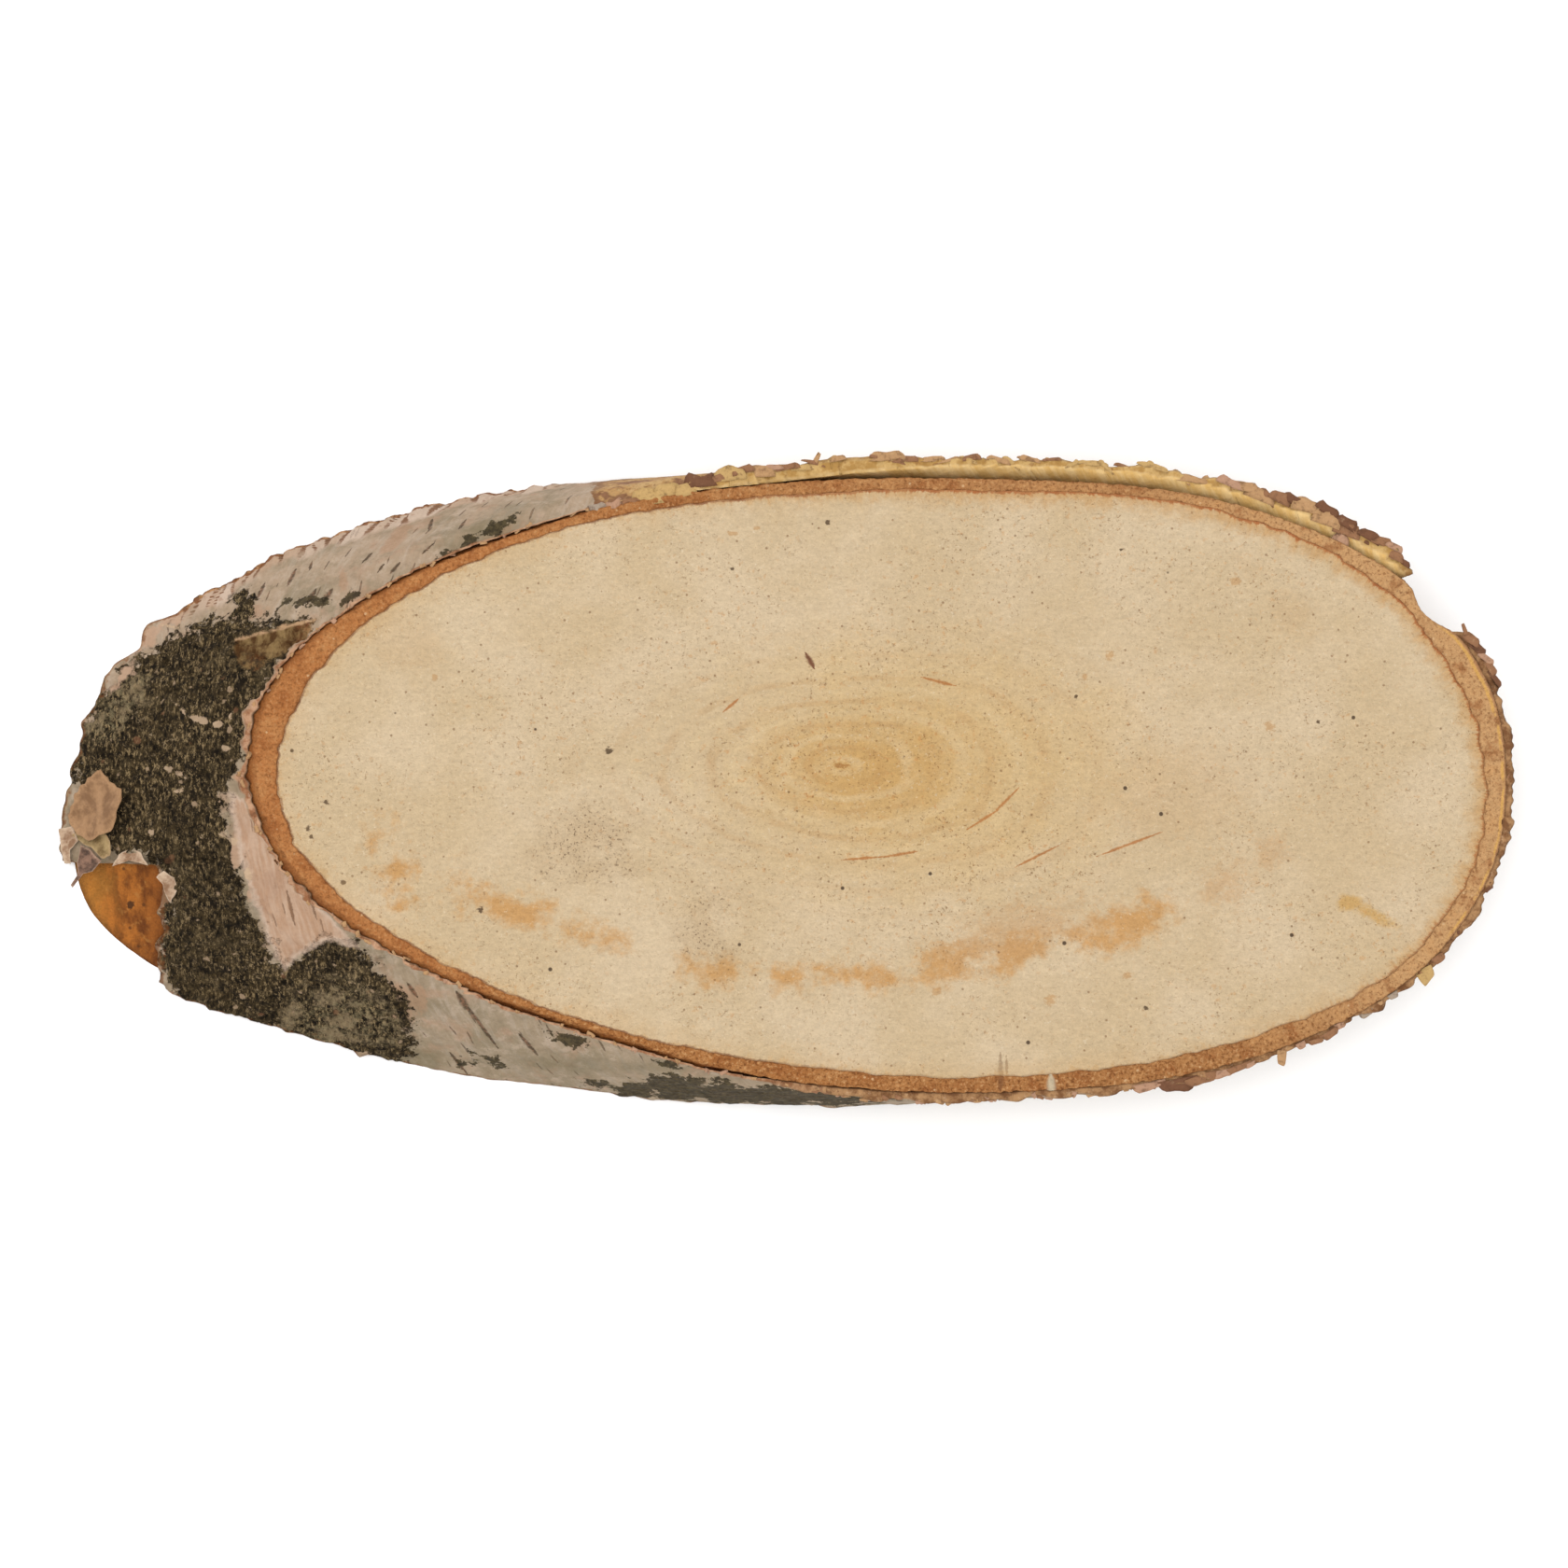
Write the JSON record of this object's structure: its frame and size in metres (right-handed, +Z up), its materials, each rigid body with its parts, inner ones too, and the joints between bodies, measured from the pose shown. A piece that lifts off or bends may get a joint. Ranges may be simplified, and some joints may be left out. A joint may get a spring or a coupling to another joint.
{
  "type": "birch wood slice",
  "caption": "Thin oval slice sawn at a slant from a birch trunk: flat pale wood inside rust-brown inner bark and papery grey outer bark with dark lichen, torn flaps and a flared lip.",
  "frame": {"origin": "the middle of the slice's plan, on the lower sawn face that it lies on", "axes": "+Z up, square to the two sawn faces; +X along the long axis, away from the end where the bark slopes out to the foot; +Y across the slice, towards the side with the open bark lip"},
  "size_m": [0.2299, 0.1045, 0.017],
  "materials": {
    "sawn_wood": "dry sawn birch, matt",
    "inner_bark": "granular rust-brown cork, matt",
    "outer_bark": "papery birch bark with dark lichen, matt"
  },
  "bodies": {
    "root": {"wood": "sawn_wood", "inner_bark": "inner_bark", "outer_bark": "outer_bark"}
  },
  "joints": []
}
